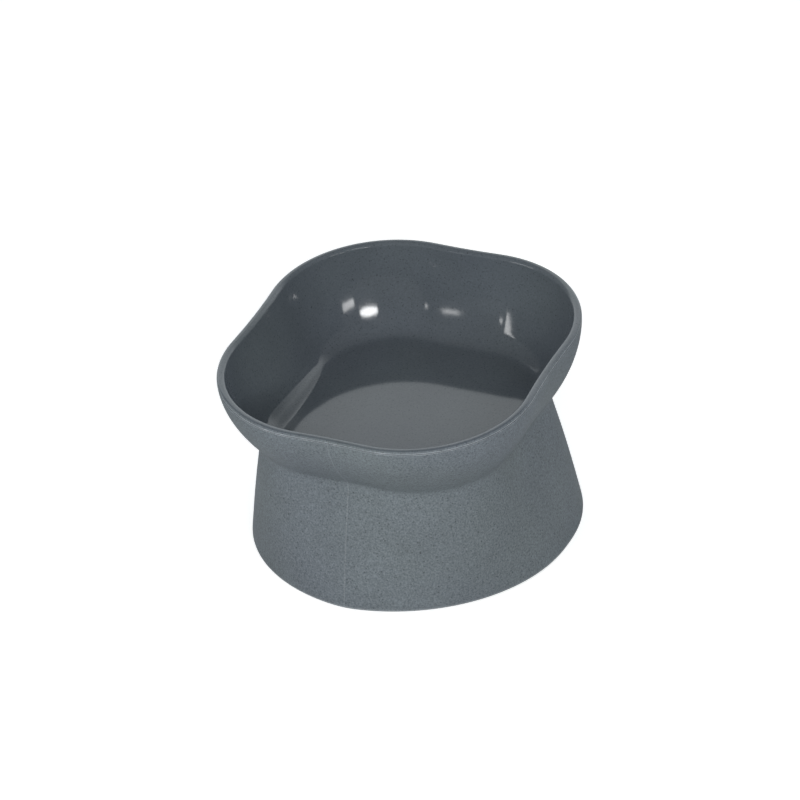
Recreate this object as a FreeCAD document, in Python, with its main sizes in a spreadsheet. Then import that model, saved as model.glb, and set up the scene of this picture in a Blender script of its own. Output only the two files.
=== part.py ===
import FreeCAD, Part
import math
import os
import Sketcher
from FreeCAD import Placement, Rotation, Vector

# Raised pet bowl with a slanted mouth: one moulded piece, a rounded square bowl on a flared hollow skirt.
# Millimetres, Z up. The origin is the middle of the footprint, on the table. The mouth tilts down towards -Y.

os.makedirs("parts", exist_ok=True)
doc = FreeCAD.newDocument("raised_pet_bowl")

# Driving sizes. Depths and insets of the bowl are measured square to the slanted mouth and inwards from its rim.
sizes = doc.addObject("Spreadsheet::Sheet", "sizes")
values = [
    ("mouth_tilt", "5"),
    ("mouth_height", "94.9"),
    ("mouth_shift", "-6.8"),
    ("rim_corner_x", "17.9"),
    ("rim_corner_y", "24.1"),
    ("rim_corner_radius", "53.2"),
    ("rim_side_x_radius", "350"),
    ("rim_side_y_radius", "320"),
    ("lip_depth", "1.3"),
    ("lip_step", "0.25"),
    ("lip_chamfer", "0.7"),
    ("wall", "3.4"),
    ("bulge_round", "44"),
    ("bulge_start_slope", "3"),
    ("bulge_end_slope", "30.7"),
    ("bowl_depth", "38.5"),
    ("cavity_round", "48"),
    ("cavity_start_slope", "6.5"),
    ("cavity_end_slope", "25"),
    ("cavity_floor_round", "7.5"),
    ("floor_wall", "3.5"),
    ("middle_overlap", "2"),
    ("waist_drop", "34.4"),
    ("waist_shift", "-6.3"),
    ("waist_inset", "17.5"),
    ("foot_shift", "4"),
    ("foot_corner_x", "-5.6"),
    ("foot_corner_y", "3.1"),
    ("foot_corner_radius", "77.2"),
    ("foot_side_x_radius", "149.5"),
    ("foot_side_y_radius", "39.5"),
    ("skirt_wall", "3.5"),
    ("ceiling_clearance", "2"),
    ("ceiling_shift", "-1.4"),
    # Sizes that follow from those above
    ("table", "=0"),
    ("waist_height", "=mouth_height - waist_drop"),
    ("ceiling_depth", "=bowl_depth + floor_wall"),
    ("ceiling_y", "=mouth_shift + ceiling_depth * sin(mouth_tilt) + ceiling_shift * cos(mouth_tilt)"),
    ("ceiling_height", "=mouth_height - ceiling_depth * cos(mouth_tilt) + ceiling_shift * sin(mouth_tilt)"),
    ("ceiling_inset", "=waist_inset + ceiling_clearance"),
    ("bulge_depth", "=ceiling_depth + floor_wall / 2"),
    ("side_span", "=sqrt((rim_side_y_radius + rim_corner_radius)^2 - rim_corner_x^2)"),
    ("side_reach", "=rim_corner_y + side_span - rim_side_y_radius"),
    ("bulge_centre", "=side_reach - bulge_round * cos(bulge_start_slope)"),
    ("bulge_centre_rise", "=bulge_round * sin(bulge_start_slope) - lip_depth"),
    ("cavity_centre", "=side_reach - wall - cavity_round * cos(cavity_start_slope)"),
    ("cavity_rise", "=cavity_round * sin(cavity_start_slope)"),
    ("cavity_end_depth", "=cavity_round * sin(cavity_end_slope) - cavity_rise"),
    ("cavity_end", "=cavity_centre + cavity_round * cos(cavity_end_slope)"),
    ("floor_tangent", "=cavity_floor_round * tan(45 - cavity_end_slope / 2)"),
    ("floor_meet", "=cavity_end - (bowl_depth - cavity_end_depth) * tan(cavity_end_slope)"),
    ("floor_edge", "=floor_meet - floor_tangent"),
    ("middle_edge", "=floor_edge - middle_overlap"),
    ("middle_inset", "=side_reach - floor_edge"),
]
for row, (alias, value) in enumerate(values, start=1):
    sizes.set(f"A{row}", alias)
    sizes.set(f"B{row}", value)
    sizes.setAlias(f"B{row}", alias)
doc.recompute()


def number(alias):
    return float(sizes.get(alias)) if alias else 0.0


def lay_on(sketch, body, plane_role, origin, turn_axis, tilt):
    plane = next(f for f in body.Origin.OriginFeatures if f.Role == plane_role)
    sketch.AttachmentSupport = [(plane, "")]
    sketch.MapMode = "FlatFace"
    corner = Vector(*(number(alias) for alias in origin))
    sketch.AttachmentOffset = Placement(corner, Rotation(turn_axis, number(tilt)))
    for axis, alias in zip("xyz", origin):
        if alias:
            sketch.setExpression(f"AttachmentOffset.Base.{axis}", f"sizes.{alias}")
    if tilt:
        sketch.setExpression("AttachmentOffset.Rotation.Angle", f"sizes.{tilt}")


def drive(sketch, driven):
    for constraint, expression in driven:
        index = sketch.addConstraint(Sketcher.Constraint(*constraint))
        sketch.setExpression(f"Constraints[{index}]", expression)


# An outline is eight tangent arcs: four equal corners and four sides, closed and symmetric about both axes.
# Hollow sides curve inwards between the corners, full sides curve outwards.
def draw_outline(body, name, family, hollow_sides, inset, shift, height, tilt):
    sketch = body.newObject("Sketcher::SketchObject", name)
    lay_on(sketch, body, "XY_Plane", (None, shift, height), Vector(1, 0, 0), tilt)
    inwards = f"sizes.{inset}" if inset else "0"
    corner_radius = f"sizes.{family}_corner_radius - {inwards}"
    sign = "+" if hollow_sides else "-"
    side_radius = [f"sizes.{family}_side_{axis}_radius {sign} {inwards}" for axis in "xy"]
    cx = number(f"{family}_corner_x")
    cy = number(f"{family}_corner_y")
    rc = number(f"{family}_corner_radius") - number(inset)
    grown = number(inset) if hollow_sides else -number(inset)
    reach = [number(f"{family}_side_{axis}_radius") + grown for axis in "xy"]
    if hollow_sides:
        side_x = Vector(cx + math.sqrt((reach[0] + rc) ** 2 - cy ** 2), 0, 0)
        side_y = Vector(0, cy + math.sqrt((reach[1] + rc) ** 2 - cx ** 2), 0)
    else:
        side_x = Vector(cx - math.copysign(math.sqrt((reach[0] - rc) ** 2 - cy ** 2), reach[0] - rc), 0, 0)
        side_y = Vector(0, cy - math.copysign(math.sqrt((reach[1] - rc) ** 2 - cx ** 2), reach[1] - rc), 0)
    corner = Vector(cx, cy, 0)

    def junction(side_centre, radius):
        line = corner - side_centre
        if not hollow_sides and radius < rc:
            line = line * -1
        line.normalize()
        return side_centre + line * radius

    def arc(centre, radius, first, last):
        start = math.atan2(first.y - centre.y, first.x - centre.x)
        end = math.atan2(last.y - centre.y, last.x - centre.x)
        circle = Part.Circle(centre, Vector(0, 0, 1), radius)
        return sketch.addGeometry(Part.ArcOfCircle(circle, start, end), False)

    meet_x = junction(side_x, reach[0])
    meet_y = junction(side_y, reach[1])
    sides = []
    corners = []
    for turn in range(4):
        flip_x = -1 if turn in (1, 2) else 1
        flip_y = -1 if turn in (2, 3) else 1
        point_x = Vector(flip_x * meet_x.x, flip_y * meet_x.y, 0)
        point_y = Vector(flip_x * meet_y.x, flip_y * meet_y.y, 0)
        first, last = (point_x, point_y) if turn in (0, 2) else (point_y, point_x)
        if turn in (0, 2):
            side_centre = Vector(flip_x * side_x.x, 0, 0)
            low = Vector(point_x.x, -point_x.y, 0)
            high = point_x
            radius = reach[0]
        else:
            side_centre = Vector(0, flip_y * side_y.y, 0)
            low = Vector(-point_y.x, point_y.y, 0)
            high = point_y
            radius = reach[1]
        ends = (high, low) if hollow_sides else (low, high)
        sides.append(arc(side_centre, radius, *ends))
        corners.append(arc(Vector(flip_x * cx, flip_y * cy, 0), rc, first, last))
    leave, enter = (1, 2) if hollow_sides else (2, 1)
    for turn in range(4):
        sketch.addConstraint(Sketcher.Constraint("Tangent", sides[turn], leave, corners[turn], 1))
        sketch.addConstraint(Sketcher.Constraint("Tangent", corners[turn], 2, sides[(turn + 1) % 4], enter))
    for first, second, axis in ((0, 1, -2), (0, 3, -1), (1, 2, -1)):
        sketch.addConstraint(Sketcher.Constraint("Symmetric", corners[first], 3, corners[second], 3, axis))
    for other in (1, 2, 3):
        sketch.addConstraint(Sketcher.Constraint("Equal", corners[0], corners[other]))
    sketch.addConstraint(Sketcher.Constraint("Equal", sides[0], sides[2]))
    sketch.addConstraint(Sketcher.Constraint("Equal", sides[1], sides[3]))
    drive(sketch, [
        (("DistanceX", -1, 1, corners[0], 3, cx), f"sizes.{family}_corner_x"),
        (("DistanceY", -1, 1, corners[0], 3, cy), f"sizes.{family}_corner_y"),
        (("Radius", corners[0], rc), corner_radius),
        (("Radius", sides[0], reach[0]), side_radius[0]),
        (("Radius", sides[1], reach[1]), side_radius[1]),
    ])
    return sketch


# A wall profile stands in the plane of symmetry, square to the rim, and is swept round it.
def start_profile(body, name):
    sketch = body.newObject("Sketcher::SketchObject", name)
    lay_on(sketch, body, "YZ_Plane", ("mouth_shift", "mouth_height", None), Vector(0, 0, 1), "mouth_tilt")
    return sketch


def line(sketch, first, last):
    return sketch.addGeometry(Part.LineSegment(Vector(*first, 0), Vector(*last, 0)), False)


def round_arc(sketch, centre, radius, start, end):
    circle = Part.Circle(Vector(*centre, 0), Vector(0, 0, 1), radius)
    return sketch.addGeometry(Part.ArcOfCircle(circle, math.radians(start), math.radians(end)), False)


def join(sketch, joints):
    for kind, first, first_end, second, second_end in joints:
        sketch.addConstraint(Sketcher.Constraint(kind, first, first_end, second, second_end))


def sweep(body, kind, name, profile, path):
    feature = body.newObject(kind, name)
    feature.Profile = profile
    feature.Spine = (path, [f"Edge{index + 1}" for index in range(8)])
    doc.recompute()
    return feature


def loft(body, kind, name, sections):
    feature = body.newObject(kind, name)
    feature.Profile = sections[0]
    feature.Sections = [(section, [""]) for section in sections[1:]]
    feature.Ruled = False
    doc.recompute()
    return feature


bowl = doc.addObject("PartDesign::Body", "bowl")
bowl.Label = "bowl"
mouth = ("mouth_shift", "mouth_height", "mouth_tilt")
rim = draw_outline(bowl, "rim", "rim", True, None, *mouth)

# Bowl as a solid block at first: lip, parting step and bulging outer wall, swept round the rim
outer = start_profile(bowl, "outer_profile")
reach = number("side_reach")
middle = number("middle_edge")
lip_edge = reach - number("lip_step")
chamfer = number("lip_chamfer")
lip_depth = number("lip_depth")
bottom = -number("bulge_depth")
centre = (number("bulge_centre"), number("bulge_centre_rise"))
bulge_round = number("bulge_round")
end_slope = math.radians(number("bulge_end_slope"))
arc_end = (centre[0] + bulge_round * math.cos(end_slope), centre[1] - bulge_round * math.sin(end_slope))
slope_end = (arc_end[0] - (arc_end[1] - bottom) * math.tan(end_slope), bottom)
top = line(outer, (middle, 0), (lip_edge - chamfer, 0))
lip = line(outer, (lip_edge - chamfer, 0), (lip_edge, -chamfer))
band = line(outer, (lip_edge, -chamfer), (lip_edge, -lip_depth))
step = line(outer, (lip_edge, -lip_depth), (reach, -lip_depth))
bulge = round_arc(outer, centre, bulge_round, -number("bulge_end_slope"), -number("bulge_start_slope"))
slope = line(outer, arc_end, slope_end)
under = line(outer, slope_end, (middle, bottom))
inner = line(outer, (middle, bottom), (middle, 0))
join(outer, [
    ("Coincident", top, 2, lip, 1),
    ("Coincident", lip, 2, band, 1),
    ("Coincident", band, 2, step, 1),
    ("Coincident", step, 2, bulge, 2),
    ("Tangent", bulge, 1, slope, 1),
    ("Coincident", slope, 2, under, 1),
    ("Coincident", under, 2, inner, 1),
    ("Coincident", inner, 2, top, 1),
])
for flat in (step, under):
    outer.addConstraint(Sketcher.Constraint("Horizontal", flat))
for upright in (band, inner):
    outer.addConstraint(Sketcher.Constraint("Vertical", upright))
outer.addConstraint(Sketcher.Constraint("PointOnObject", top, 1, -1))
outer.addConstraint(Sketcher.Constraint("PointOnObject", top, 2, -1))
drive(outer, [
    (("DistanceX", lip, 1, lip, 2, chamfer), "sizes.lip_chamfer"),
    (("DistanceY", -1, 1, lip, 2, -chamfer), "-sizes.lip_chamfer"),
    (("DistanceX", -1, 1, band, 2, lip_edge), "sizes.side_reach - sizes.lip_step"),
    (("DistanceX", -1, 1, step, 2, reach), "sizes.side_reach"),
    (("DistanceY", -1, 1, step, 2, -lip_depth), "-sizes.lip_depth"),
    (("DistanceX", -1, 1, bulge, 3, centre[0]), "sizes.bulge_centre"),
    (("DistanceY", -1, 1, bulge, 3, centre[1]), "sizes.bulge_centre_rise"),
    (("DistanceY", bulge, 1, bulge, 3, centre[1] - arc_end[1]), "sizes.bulge_round * sin(sizes.bulge_end_slope)"),
    (("DistanceY", -1, 1, under, 1, bottom), "-sizes.bulge_depth"),
    (("DistanceX", -1, 1, inner, 1, middle), "sizes.middle_edge"),
])
doc.recompute()
block = sweep(bowl, "PartDesign::AdditivePipe", "block", outer, rim)
middle_outline = draw_outline(bowl, "middle_outline", "rim", True, "middle_inset", *mouth)
core = bowl.newObject("PartDesign::Pad", "core")
core.Profile = middle_outline
core.Reversed = True
core.setExpression("Length", "sizes.bulge_depth")
doc.recompute()

# Skirt, solid at first, from the foot up into the block
foot_level = ("foot_shift", "table", None)
foot_outline = draw_outline(bowl, "foot_outline", "foot", False, None, *foot_level)
waist_level = ("waist_shift", "waist_height", None)
waist_outline = draw_outline(bowl, "waist_outline", "rim", True, "waist_inset", *waist_level)
skirt = loft(bowl, "PartDesign::AdditiveLoft", "skirt", [foot_outline, waist_outline])

# Cavity of the bowl: a curved wall with a rounded foot, swept round the rim, and a flat floor
hollowed = start_profile(bowl, "cavity_profile")
above = 1
centre = (number("cavity_centre"), number("cavity_rise"))
radius = number("cavity_round")
floor = -number("bowl_depth")
floor_round = number("cavity_floor_round")
floor_edge = number("floor_edge")
mouth_edge = reach - number("wall") + chamfer
start_turn = math.asin((number("cavity_rise") + chamfer) / radius)
wall_start = (centre[0] + radius * math.cos(start_turn), -chamfer)
wall_end = (number("cavity_end"), -number("cavity_end_depth"))
end_turn = math.radians(number("cavity_end_slope"))
turn_start = (floor_edge + floor_round * math.cos(end_turn), floor + floor_round * (1 - math.sin(end_turn)))
lid = line(hollowed, (middle, above), (mouth_edge, above))
clear = line(hollowed, (mouth_edge, above), (mouth_edge, 0))
lip = line(hollowed, (mouth_edge, 0), wall_start)
wall = round_arc(hollowed, centre, radius, -math.degrees(end_turn), -math.degrees(start_turn))
slope = line(hollowed, wall_end, turn_start)
turn_in = round_arc(hollowed, (floor_edge, floor + floor_round), floor_round, -90, -math.degrees(end_turn))
flat = line(hollowed, (floor_edge, floor), (middle, floor))
inner = line(hollowed, (middle, floor), (middle, above))
join(hollowed, [
    ("Coincident", lid, 2, clear, 1),
    ("Coincident", clear, 2, lip, 1),
    ("Coincident", lip, 2, wall, 2),
    ("Tangent", wall, 1, slope, 1),
    ("Tangent", slope, 2, turn_in, 2),
    ("Tangent", turn_in, 1, flat, 1),
    ("Coincident", flat, 2, inner, 1),
    ("Coincident", inner, 2, lid, 1),
])
for level in (lid, flat):
    hollowed.addConstraint(Sketcher.Constraint("Horizontal", level))
for upright in (clear, inner):
    hollowed.addConstraint(Sketcher.Constraint("Vertical", upright))
hollowed.addConstraint(Sketcher.Constraint("PointOnObject", clear, 2, -1))
drive(hollowed, [
    (("DistanceY", -1, 1, lid, 1, above), f"{above}"),
    (("DistanceX", -1, 1, clear, 2, mouth_edge), "sizes.side_reach - sizes.wall + sizes.lip_chamfer"),
    (("DistanceY", -1, 1, lip, 2, -chamfer), "-sizes.lip_chamfer"),
    (("DistanceX", -1, 1, wall, 3, centre[0]), "sizes.cavity_centre"),
    (("DistanceY", -1, 1, wall, 3, centre[1]), "sizes.cavity_rise"),
    (("Radius", wall, radius), "sizes.cavity_round"),
    (("DistanceY", -1, 1, slope, 1, wall_end[1]), "-sizes.cavity_end_depth"),
    (("Radius", turn_in, floor_round), "sizes.cavity_floor_round"),
    (("DistanceY", -1, 1, flat, 1, floor), "-sizes.bowl_depth"),
    (("DistanceX", -1, 1, inner, 1, middle), "sizes.middle_edge"),
])
doc.recompute()
cavity = sweep(bowl, "PartDesign::SubtractivePipe", "cavity", hollowed, rim)
centre_cut = bowl.newObject("PartDesign::Pocket", "cavity_middle")
centre_cut.Profile = middle_outline
centre_cut.setExpression("Length", "sizes.bowl_depth")
doc.recompute()

# Hollow of the skirt, open below, closed above by the floor of the bowl
hollow_outline = draw_outline(bowl, "hollow_outline", "foot", False, "skirt_wall", *foot_level)
ceiling_level = ("ceiling_y", "ceiling_height", "mouth_tilt")
ceiling = draw_outline(bowl, "ceiling_outline", "rim", True, "ceiling_inset", *ceiling_level)
hollow = loft(bowl, "PartDesign::SubtractiveLoft", "hollow", [hollow_outline, ceiling])
bowl.Tip = hollow
doc.recompute()

for item in doc.Objects:
    state = item.State if hasattr(item, "State") else []
    if "Invalid" in state or "Error" in state:
        raise RuntimeError(f"{item.Name} did not recompute: {state}")
if bowl.Shape.isNull() or not bowl.Shape.isValid() or len(bowl.Shape.Solids) != 1:
    raise RuntimeError("the bowl is not one valid solid")
bowl.Shape.exportStep("parts/bowl.step")
print("bowl", round(bowl.Shape.Volume / 1000, 1), "cm3")
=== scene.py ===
import bmesh
import bpy
import math
from mathutils import Matrix, Quaternion, Vector


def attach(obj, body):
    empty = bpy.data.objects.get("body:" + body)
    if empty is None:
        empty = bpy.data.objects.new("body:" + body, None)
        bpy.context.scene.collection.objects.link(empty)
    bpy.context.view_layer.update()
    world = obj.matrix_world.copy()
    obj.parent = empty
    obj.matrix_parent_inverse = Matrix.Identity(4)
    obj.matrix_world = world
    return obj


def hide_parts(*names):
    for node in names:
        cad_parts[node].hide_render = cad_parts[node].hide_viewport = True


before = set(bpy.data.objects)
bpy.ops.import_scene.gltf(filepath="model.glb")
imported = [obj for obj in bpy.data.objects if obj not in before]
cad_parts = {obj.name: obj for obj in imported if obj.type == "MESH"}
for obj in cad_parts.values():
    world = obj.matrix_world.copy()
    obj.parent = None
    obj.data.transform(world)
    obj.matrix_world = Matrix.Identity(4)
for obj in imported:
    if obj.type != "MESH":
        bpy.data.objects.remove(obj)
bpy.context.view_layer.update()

# Bowl: one moulded piece of speckled plastic, a rounded square bowl with pinched sides on a hollow skirt.
# The mould leaves it matt and finely grained outside and polished inside and over the lip.
# The lip, the cavity and its floor are square to one slanted plane, which falls towards the front.
mouth_tilt = math.radians(5)
mouth_centre = Vector((0, -0.0068, 0.0949))
mouth_up = Vector((0, -math.sin(mouth_tilt), math.cos(mouth_tilt)))
mouth_back = Vector((0, math.cos(mouth_tilt), math.sin(mouth_tilt)))
lip_depth = 0.0013
lip_step = 0.00025
lip_width = 0.0035
lip_outer_round = 0.0012
lip_inner_round = 0.0019
bulge_inset = 0.0162
bulge_power = 1.8
waist_centre = Vector((0, -0.0042, 0.057))
waist_round = 0.005
skirt_crown = 0.0007
foot_centre = Vector((0, 0.004, 0))
foot_round = 0.0008
wall = 0.0035
cavity_depth = 0.0385
cavity_flare = 0.0146
cavity_power = 1.463
floor_round = 0.010
ceiling_inset = 0.0195
ceiling_shift = -0.0014
ceiling_round = 0.003
points_around = 144


def arc_outline(corner, corner_radius, side_radii, pinched):
    """Return the reach from the centre to an outline of arcs, for any angle and inset.

    Four like corner arcs run into four side arcs without a kink. Pinched sides are hollow, others bulge.
    """
    turn = 1 if pinched else -1
    corner_centre = Vector(corner)

    def reach(angle, inset):
        heading = Vector((abs(math.cos(angle)), abs(math.sin(angle))))
        slope = math.atan2(heading.y, heading.x)
        centre, radius, crossing = corner_centre, corner_radius - inset, 1
        for axis, side_radius in enumerate(side_radii):
            span = side_radius + turn * corner_radius
            offset = math.copysign(math.sqrt(span ** 2 - corner_centre[1 - axis] ** 2), span)
            side_centre = Vector((0, 0))
            side_centre[axis] = corner_centre[axis] + turn * offset
            side_reach = side_radius + turn * inset
            meet = side_centre + (corner_centre - side_centre).normalized() * math.copysign(side_reach, span)
            edge = math.atan2(meet.y, meet.x)
            on_side = slope < edge if axis == 0 else slope > edge
            if on_side:
                centre, radius, crossing = side_centre, side_reach, -turn
        along = heading.dot(centre)
        return along + crossing * math.sqrt(max(radius ** 2 - centre.length_squared + along ** 2, 0))
    return reach


rim_reach = arc_outline(corner=(0.0179, 0.0241), corner_radius=0.0532,
                        side_radii=(0.350, 0.320), pinched=True)
foot_reach = arc_outline(corner=(-0.0056, 0.0031), corner_radius=0.0777,
                         side_radii=(0.150, 0.040), pinched=False)
shell = bmesh.new()
circle = bmesh.ops.create_circle(shell, cap_ends=False, segments=points_around, radius=1)["verts"]
foot_outer = [(vertex, math.atan2(vertex.co.y, vertex.co.x)) for vertex in circle]


def outward(angle):
    """Return the level direction at an angle."""
    return Vector((math.cos(angle), math.sin(angle), 0))


def lay_ring(ring, reach, inset, centre, slant):
    """Put a ring of vertices on an outline, in a plane through a centre with a slant."""
    for vertex, angle in ring:
        vertex.co = centre + Matrix.Rotation(slant, 3, "X") @ (outward(angle) * reach(angle, inset))


def ring_edges(ring):
    """Return the edges that join the vertices of a ring."""
    members = {vertex for vertex, angle in ring}
    return [edge for edge in shell.edges if edge.verts[0] in members and edge.verts[1] in members]


def grow(ring):
    """Extrude the open edge by one course and return the new ring of vertices with their angles."""
    made = bmesh.ops.extrude_edge_only(shell, edges=ring_edges(ring))["geom"]
    fresh = {vertex for vertex in made if isinstance(vertex, bmesh.types.BMVert)}
    following = []
    for vertex, angle in ring:
        neighbours = [edge.other_vert(vertex) for edge in vertex.link_edges]
        partner = next(neighbour for neighbour in neighbours if neighbour in fresh)
        following.append((partner, angle))
    return following


def close_flat(ring, centre):
    """Close the open edge with level courses, square to the mouth, that end in one small face."""
    course_insets = (0.0275, 0.033, 0.040)
    shares_of_last = (0.5, 0.3, 0.1)
    for inset in course_insets:
        ring = grow(ring)
        lay_ring(ring, rim_reach, inset, centre, mouth_tilt)
    for share in shares_of_last:
        ring = grow(ring)
        for vertex, angle in ring:
            level = outward(angle) * rim_reach(angle, course_insets[-1]) * share
            vertex.co = centre + Matrix.Rotation(mouth_tilt, 3, "X") @ level
    bmesh.ops.contextual_create(shell, geom=[vertex for vertex, angle in ring])


# outside of the skirt, slightly crowned, from the foot up to the waist
lay_ring(foot_outer, foot_reach, 0, foot_centre, 0)
ring = foot_outer
skirt_courses = 10
for course in range(1, skirt_courses + 1):
    share = course / skirt_courses
    ring = grow(ring)
    for vertex, angle in ring:
        width = foot_reach(angle, 0) * (1 - share) + rim_reach(angle, bulge_inset) * share
        width += skirt_crown * math.sin(math.pi * share)
        vertex.co = foot_centre.lerp(waist_centre, share) + outward(angle) * width
waist = ring

# outside of the bowl, which takes on the slant of the mouth on its way up to the parting step
parting_centre = mouth_centre - mouth_up * lip_depth
bulge_courses = 14
for course in range(1, bulge_courses + 1):
    share = course / bulge_courses
    ring = grow(ring)
    centre = waist_centre.lerp(parting_centre, share)
    lay_ring(ring, rim_reach, bulge_inset * (1 - share) ** bulge_power, centre, share * mouth_tilt)
ring = grow(ring)
lay_ring(ring, rim_reach, lip_step, parting_centre, mouth_tilt)
ring = grow(ring)
lay_ring(ring, rim_reach, lip_step, mouth_centre, mouth_tilt)
lip_outer = ring
ring = grow(ring)
lay_ring(ring, rim_reach, lip_step + lip_width, mouth_centre, mouth_tilt)
lip_inner = ring

# cavity: a flaring wall that runs into the floor through an arc
# the two meet where they lean the same way, which a few refinements of a first guess find
lean = 0.48
refinements = 20
for refinement in range(refinements):
    wall_end = cavity_depth - floor_round * (1 - math.sin(lean))
    steepness = cavity_flare * cavity_power / cavity_depth
    lean = math.atan(steepness * (wall_end / cavity_depth) ** (cavity_power - 1))
profile = []
wall_courses = 18
for course in range(1, wall_courses + 1):
    depth = wall_end * course / wall_courses
    profile.append((lip_step + lip_width + cavity_flare * (depth / cavity_depth) ** cavity_power, depth))
arc_centre = profile[-1][0] + floor_round * math.cos(lean)
arc_courses = 10
for course in range(1, arc_courses + 1):
    bearing = lean + (math.pi / 2 - lean) * course / arc_courses
    depth = cavity_depth - floor_round * (1 - math.sin(bearing))
    profile.append((arc_centre - floor_round * math.cos(bearing), depth))
for inset, depth in profile:
    ring = grow(ring)
    lay_ring(ring, rim_reach, inset, mouth_centre - mouth_up * depth, mouth_tilt)
close_flat(ring, mouth_centre - mouth_up * cavity_depth)

# hollow of the skirt, from the foot up to a ceiling under the floor of the bowl
ring = grow(foot_outer)
lay_ring(ring, foot_reach, wall, foot_centre, 0)
foot_inner = ring
ceiling_centre = mouth_centre - mouth_up * (cavity_depth + wall) + mouth_back * ceiling_shift
hollow_courses = 10
for course in range(1, hollow_courses + 1):
    share = course / hollow_courses
    ring = grow(ring)
    for vertex, angle in ring:
        low = foot_centre + outward(angle) * foot_reach(angle, wall)
        level = outward(angle) * rim_reach(angle, ceiling_inset)
        high = ceiling_centre + Matrix.Rotation(mouth_tilt, 3, "X") @ level
        vertex.co = low.lerp(high, share)
ceiling = ring
close_flat(ring, ceiling_centre)

# rounded edges: each ring, its radius and its number of steps
for ring, radius, steps in (
    (waist, waist_round, 6),
    (lip_outer, lip_outer_round, 6),
    (lip_inner, lip_inner_round, 6),
    (foot_outer, foot_round, 3),
    (foot_inner, foot_round, 3),
    (ceiling, ceiling_round, 4),
):
    edges = ring_edges(ring)
    turn = sum(edge.calc_face_angle() for edge in edges) / len(edges)
    bmesh.ops.bevel(shell, geom=edges, offset=radius * math.tan(turn / 2), offset_type="OFFSET",
                    segments=steps, profile=0.5, affect="EDGES", clamp_overlap=False, material=-1)
bmesh.ops.recalc_face_normals(shell, faces=shell.faces)
for face in shell.faces:
    face.smooth = True
bowl_mesh = bpy.data.meshes.new("bowl_shell")
shell.to_mesh(bowl_mesh)
shell.free()
bowl = bpy.data.objects.new("bowl_shell", bowl_mesh)
bpy.context.scene.collection.objects.link(bowl)
smoothing = bowl.modifiers.new("smoothing", "SUBSURF")
smoothing.levels = 1
smoothing.render_levels = 1


def add_math(tree, operation, first, second=0):
    """Add a math node fed by a socket or a number on each side, and return its output."""
    node = tree.nodes.new("ShaderNodeMath")
    node.operation = operation
    for socket, value in zip(node.inputs, (first, second)):
        if isinstance(value, (int, float)):
            socket.default_value = value
        else:
            tree.links.new(value, socket)
    return node.outputs["Value"]


def add_range(tree, value, before, after):
    """Add a clamped map range node from one pair of limits to another, and return its output."""
    node = tree.nodes.new("ShaderNodeMapRange")
    tree.links.new(value, node.inputs["Value"])
    node.inputs["From Min"].default_value, node.inputs["From Max"].default_value = before
    node.inputs["To Min"].default_value, node.inputs["To Max"].default_value = after
    return node.outputs["Result"]


def add_noise(tree, place, scale, detail):
    """Add a noise texture with a scale in cells per metre, and return its value."""
    node = tree.nodes.new("ShaderNodeTexNoise")
    node.inputs["Scale"].default_value = scale
    node.inputs["Detail"].default_value = detail
    tree.links.new(place, node.inputs["Vector"])
    return node.outputs["Fac"]


def add_blend(tree, factor, first, second, blend_type="MIX"):
    """Add a colour mix from a socket or a colour to a colour, and return its output."""
    node = tree.nodes.new("ShaderNodeMix")
    node.data_type = "RGBA"
    node.blend_type = blend_type
    tree.links.new(factor, node.inputs["Factor"])
    if isinstance(first, tuple):
        node.inputs["A"].default_value = first
    else:
        tree.links.new(first, node.inputs["A"])
    node.inputs["B"].default_value = second
    return node.outputs["Result"]


def add_bump(tree, height, distance):
    """Add a bump node and feed it to the material's surface."""
    node = tree.nodes.new("ShaderNodeBump")
    node.inputs["Distance"].default_value = distance
    tree.links.new(height, node.inputs["Height"])
    tree.links.new(node.outputs["Normal"], tree.nodes["Principled BSDF"].inputs["Normal"])


# speckled plastic: dark flecks of two sizes, a fine grain, and a faint cloudiness in tone and hue
speckle = bpy.data.node_groups.new("speckled_colour", "ShaderNodeTree")
speckle.interface.new_socket("Color", in_out="INPUT", socket_type="NodeSocketColor")
speckle.interface.new_socket("Grain", in_out="INPUT", socket_type="NodeSocketFloat")
speckle.interface.new_socket("Flecks", in_out="INPUT", socket_type="NodeSocketFloat")
speckle.interface.new_socket("Color", in_out="OUTPUT", socket_type="NodeSocketColor")
given = speckle.nodes.new("NodeGroupInput").outputs
place = speckle.nodes.new("ShaderNodeTexCoord").outputs["Object"]
grain = add_math(speckle, "SUBTRACT", add_noise(speckle, place, scale=1300, detail=2), 0.5)
tone = add_math(speckle, "ADD", add_math(speckle, "MULTIPLY", grain, given["Grain"]), 1)
cloud = add_range(speckle, add_noise(speckle, place, scale=38, detail=4), (0.3, 0.7), (0.94, 1.06))
tone = add_math(speckle, "MULTIPLY", tone, cloud)
# flecks of one size sit in cells, of which only some hold one: cells per metre, radius in cells,
# threshold that leaves a cell empty, darkness
for cells_per_metre, radius, threshold, darkness in ((340, 0.12, 0.45, 0.55), (760, 0.22, 0.40, 0.5)):
    cells = speckle.nodes.new("ShaderNodeTexVoronoi")
    cells.inputs["Scale"].default_value = cells_per_metre
    speckle.links.new(place, cells.inputs["Vector"])
    spot = add_range(speckle, cells.outputs["Distance"], (radius * 0.6, radius * 1.4), (darkness, 0))
    filled = add_math(speckle, "GREATER_THAN", cells.outputs["Color"], threshold)
    strength = add_math(speckle, "MULTIPLY", filled, given["Flecks"])
    fleck = add_math(speckle, "SUBTRACT", 1, add_math(speckle, "MULTIPLY", spot, strength))
    tone = add_math(speckle, "MULTIPLY", tone, fleck)
drift = add_range(speckle, add_noise(speckle, place, scale=16, detail=2), (0.35, 0.65), (0, 1))
greener = add_blend(speckle, drift, given["Color"], (1.02, 1.03, 0.98, 1), "MULTIPLY")
toned = speckle.nodes.new("ShaderNodeVectorMath")
toned.operation = "SCALE"
speckle.links.new(greener, toned.inputs[0])
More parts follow.
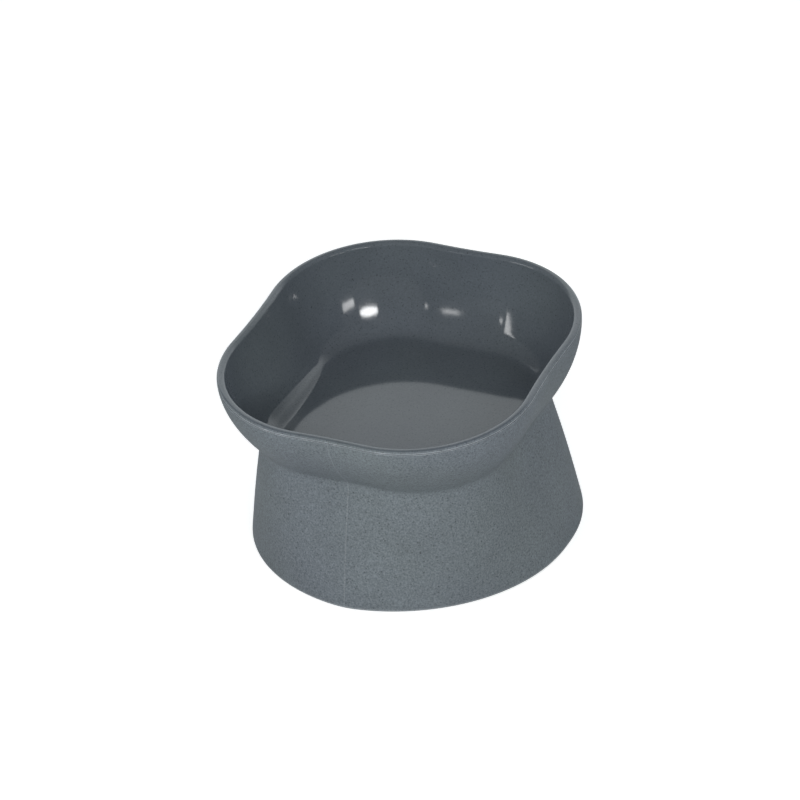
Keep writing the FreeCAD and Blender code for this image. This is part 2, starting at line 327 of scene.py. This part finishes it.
speckle.links.new(tone, toned.inputs["Scale"])
result = speckle.nodes.new("NodeGroupOutput")
speckle.links.new(toned.outputs["Vector"], result.inputs["Color"])


def speckled_plastic(name, colour, grain, flecks, roughness):
    """Start a material on the bowl and return its node tree, its speckled colour and its coordinates."""
    material = bpy.data.materials.new(name)
    material.use_nodes = True
    bowl_mesh.materials.append(material)
    tree = material.node_tree
    tree.nodes["Principled BSDF"].inputs["Roughness"].default_value = roughness
    group = tree.nodes.new("ShaderNodeGroup")
    group.node_tree = speckle
    group.inputs["Color"].default_value = colour
    group.inputs["Grain"].default_value = grain
    group.inputs["Flecks"].default_value = flecks
    place = tree.nodes.new("ShaderNodeTexCoord").outputs["Object"]
    return tree, group.outputs["Color"], place


# matt outside, with the mould line from front to back in a pale colour, and painted highlights: a pale line
# broken into nicks under the parting step and a paler edge of the foot, where those edges catch light
tree, colour, place = speckled_plastic("matt_speckled_plastic", (0.136, 0.157, 0.177, 1),
                                       grain=1.3, flecks=0.8, roughness=0.62)
surface = tree.nodes["Principled BSDF"]
surface.inputs["Specular IOR Level"].default_value = 0.35
# pale colour of the mould line, also used for the painted highlights on the parting step and the foot edge
pale_seam_and_highlight_colour = (0.50, 0.53, 0.55, 1)
line_below_parting = 0.00015
parting_fade = (0.00022, 0.00045)
mould_line_fade = (0.0001, 0.0004)
mould_line_strength = 0.11
foot_edge_fade = (0.0004, 0.0014)
foot_edge_strength = 0.5
height = tree.nodes.new("ShaderNodeVectorMath")
height.operation = "DOT_PRODUCT"
height.inputs[1].default_value = mouth_up
tree.links.new(place, height.inputs[0])
# painted highlight: a pale line just under the parting step, where its edge catches light, broken up by
# noise
line_height = mouth_centre.dot(mouth_up) - lip_depth - line_below_parting
from_line = add_math(tree, "ABSOLUTE", add_math(tree, "SUBTRACT", height.outputs["Value"], line_height))
parting = add_range(tree, from_line, parting_fade, (1, 0))
highlight_breaks = add_range(tree, add_noise(tree, place, scale=260, detail=3), (0.45, 0.68), (0.45, 1))
parting = add_math(tree, "MULTIPLY", parting, highlight_breaks)
axes = tree.nodes.new("ShaderNodeSeparateXYZ")
tree.links.new(place, axes.inputs["Vector"])
from_middle = add_math(tree, "ABSOLUTE", axes.outputs["X"])
mould_line = add_range(tree, from_middle, mould_line_fade, (mould_line_strength, 0))
# painted highlight: paler towards the bottom edge of the foot, where it catches light
foot_edge = add_range(tree, axes.outputs["Z"], foot_edge_fade, (foot_edge_strength, 0))
pale = add_math(tree, "MAXIMUM", add_math(tree, "MAXIMUM", parting, mould_line), foot_edge)
tree.links.new(add_blend(tree, pale, colour, pale_seam_and_highlight_colour), surface.inputs["Base Color"])
add_bump(tree, add_noise(tree, place, scale=1900, detail=2), distance=0.00006)

# polished inside and lip, very slightly wavy
tree, colour, place = speckled_plastic("polished_speckled_plastic", (0.103, 0.119, 0.138, 1),
                                       grain=0.45, flecks=0.5, roughness=0.07)
tree.links.new(colour, tree.nodes["Principled BSDF"].inputs["Base Color"])
add_bump(tree, add_noise(tree, place, scale=42, detail=1), distance=0.00006)

# the polish ends a little below the top of the lip on the outside, and covers the walls and floor inside
matt_slot, polished_slot = 0, 1
polish_depth = 0.35 * lip_depth
inside_depth = cavity_depth + 0.001
rise_of_floor = 0.9
least_rise_of_wall = -0.05
for face in bowl_mesh.polygons:
    depth = (mouth_centre - face.center).dot(mouth_up)
    rise = face.normal.dot(mouth_up)
    from_centre = face.center - mouth_centre
    turned_in = face.normal.xy.dot(from_centre.xy) < 0
    faces_cavity = rise > rise_of_floor or (rise > least_rise_of_wall and turned_in)
    polished = depth < polish_depth or (depth < inside_depth and faces_cavity)
    face.material_index = polished_slot if polished else matt_slot
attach(bowl, "root")
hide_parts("bowl")

# Table: a plain white studio surface, wide enough to fill the view from any side.
# It keeps the soft shadow under the bowl and looks white to the camera.
table_shape = bmesh.new()
bmesh.ops.create_grid(table_shape, x_segments=1, y_segments=1, size=3)
table_mesh = bpy.data.meshes.new("table")
table_shape.to_mesh(table_mesh)
table_shape.free()
table = bpy.data.objects.new("table", table_mesh)
bpy.context.scene.collection.objects.link(table)
white = bpy.data.materials.new("white_studio")
white.use_nodes = True
tree = white.node_tree
surface = tree.nodes["Principled BSDF"]
surface.inputs["Base Color"].default_value = (0.85, 0.85, 0.85, 1)
surface.inputs["Roughness"].default_value = 0.9
surface.inputs["Emission Color"].default_value = (1, 1, 1, 1)
camera_lift = 0.56
path = tree.nodes.new("ShaderNodeLightPath")
lift = add_math(tree, "MULTIPLY", path.outputs["Is Camera Ray"], camera_lift)
tree.links.new(lift, surface.inputs["Emission Strength"])
table_mesh.materials.append(white)

# Studio: a dim room with a bright white sweep behind the bowl and soft lamps on the camera's side.
# The polished cavity mirrors the sweep in its floor and the lamps in its far wall.
sweep_direction = (-0.24, 0.97, 0)
sweep_side_fade = (0.42, 0.60)
sweep_top_fade = (0.68, 0.82)
room_level = 0.22
sweep_level = 1.4
room_tint = (0.93, 0.98, 1, 1)
world = bpy.data.worlds.new("studio")
bpy.context.scene.world = world
world.use_nodes = True
tree = world.node_tree
backdrop = tree.nodes["Background"]
ray = tree.nodes.new("ShaderNodeTexCoord").outputs["Generated"]
towards = tree.nodes.new("ShaderNodeVectorMath")
towards.operation = "DOT_PRODUCT"
towards.inputs[1].default_value = sweep_direction
tree.links.new(ray, towards.inputs[0])
axes = tree.nodes.new("ShaderNodeSeparateXYZ")
tree.links.new(ray, axes.inputs["Vector"])
behind = add_range(tree, towards.outputs["Value"], sweep_side_fade, (0, 1))
low = add_range(tree, axes.outputs["Z"], sweep_top_fade, (1, 0))
level = add_range(tree, add_math(tree, "MULTIPLY", behind, low), (0, 1), (room_level, sweep_level))
path = tree.nodes.new("ShaderNodeLightPath")
shown = add_blend(tree, path.outputs["Is Camera Ray"], room_tint, (1, 1, 1, 1))
tree.links.new(shown, backdrop.inputs["Color"])
strength = tree.nodes.new("ShaderNodeMix")
tree.links.new(path.outputs["Is Camera Ray"], strength.inputs["Factor"])
tree.links.new(level, strength.inputs["A"])
strength.inputs["B"].default_value = 1
tree.links.new(strength.outputs["Result"], backdrop.inputs["Strength"])


def softbox(name, azimuth, elevation, distance, size, power, mirrored, shape="RECTANGLE"):
    """Add one soft lamp that faces the bowl from a direction in degrees."""
    aim = Vector((0, 0, 0.06))
    data = bpy.data.lights.new(name, "AREA")
    data.shape = shape
    data.size, data.size_y = size
    data.energy = power
    lamp = bpy.data.objects.new(name, data)
    bpy.context.scene.collection.objects.link(lamp)
    turn, rise = math.radians(azimuth), math.radians(elevation)
    away = Vector((math.cos(rise) * math.cos(turn), math.cos(rise) * math.sin(turn), math.sin(rise)))
    lamp.location = away * distance + aim
    lamp.rotation_euler = away.to_track_quat("Z", "Y").to_euler()
    lamp.visible_glossy = mirrored


softbox("left_key", -112, 27, 1.3, size=(0.6, 0.6), power=4.0, mirrored=False)
softbox("right_key", -58, 27, 1.3, size=(0.6, 0.6), power=6.2, mirrored=False)
softbox("small_lamp", -45, 15, 1.6, size=(0.62, 0.07), power=3.0, mirrored=True, shape="ELLIPSE")
softbox("small_window", -22, 11, 1.6, size=(0.42, 0.07), power=0.9, mirrored=True)
softbox("strip", -113.8, 9, 1.6, size=(0.09, 0.03), power=0.07, mirrored=True)
softbox("window", -131, 8.5, 1.6, size=(0.66, 0.16), power=2.6, mirrored=True)

# Camera: a long lens, looking down into the bowl from the front right.
# It was held with a slight roll.
camera_roll = math.radians(-2.71)
view = bpy.data.cameras.new("camera")
view.lens = 188.15
view.sensor_width = 36
camera = bpy.data.objects.new("camera", view)
bpy.context.scene.collection.objects.link(camera)
camera.location = (0.6635, -1.4273, 0.9890)
heading = Vector((-0.3652, 0.7804, -0.5075))
level_view = heading.to_track_quat("-Z", "Y")
camera.rotation_euler = (level_view @ Quaternion((0, 0, 1), camera_roll)).to_euler()
bpy.context.scene.camera = camera
bpy.context.scene.view_settings.view_transform = "Standard"
